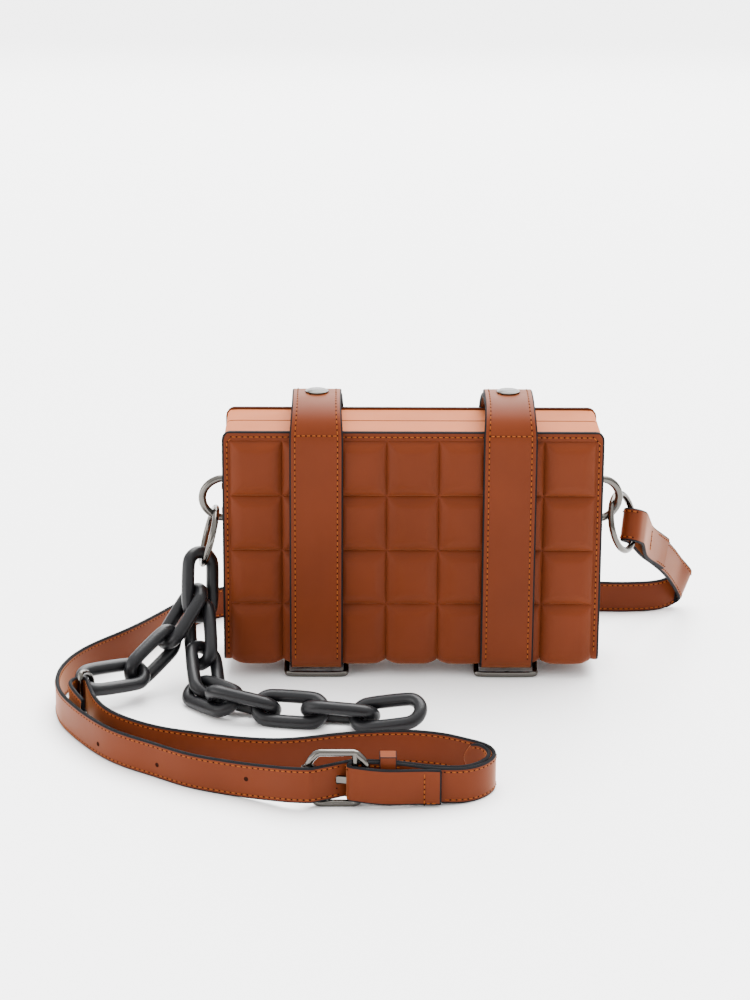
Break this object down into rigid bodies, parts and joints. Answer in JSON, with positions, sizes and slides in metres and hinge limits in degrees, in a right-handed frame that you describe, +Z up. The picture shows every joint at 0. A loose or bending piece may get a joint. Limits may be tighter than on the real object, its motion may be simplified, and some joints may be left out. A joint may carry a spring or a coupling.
{
  "type": "box bag",
  "caption": "Hard box bag with a quilted leather front, two snapped closure straps, side rings, a link chain and a buckled shoulder strap lying round it.",
  "frame": {"origin": "middle of the whole object's box, on the floor", "axes": "+X to the right along the bag's width, +Y from the quilted front to the back, +Z up"},
  "size_m": [0.3492, 0.3034, 0.1545],
  "materials": {
    "tan_leather": "satin",
    "frame_leather": "satin",
    "chain_resin": "matte",
    "dark_metal": "polished"
  },
  "bodies": {
    "root": {"outer_wrap": "tan_leather", "front_frame": "frame_leather", "back_frame": "frame_leather", "closure_strap_left": "tan_leather", "snap_cap_left": "dark_metal", "snap_stud_left": "dark_metal", "front_loop_left": "dark_metal", "back_loop_left": "dark_metal", "closure_strap_right": "tan_leather", "snap_cap_right": "dark_metal", "snap_stud_right": "dark_metal", "front_loop_right": "dark_metal", "back_loop_right": "dark_metal", "side_tab_left": "tan_leather", "side_tab_right": "tan_leather", "side_ring_left": "dark_metal", "side_ring_right": "dark_metal", "o_ring_left": "dark_metal", "o_ring_right": "dark_metal", "chain_link_01": "chain_resin", "chain_link_02": "chain_resin", "chain_link_03": "chain_resin", "chain_link_04": "chain_resin", "chain_link_05": "chain_resin", "chain_link_06": "chain_resin", "chain_link_07": "chain_resin", "chain_link_08": "chain_resin", "chain_link_09": "chain_resin", "chain_link_10": "chain_resin", "chain_link_11": "chain_resin", "shoulder_strap_long": "tan_leather", "shoulder_strap_short": "tan_leather", "buckle_frame": "dark_metal", "buckle_prong": "dark_metal", "buckle_roller": "dark_metal", "strap_keeper": "tan_leather", "end_ring": "dark_metal"}
  },
  "joints": []
}
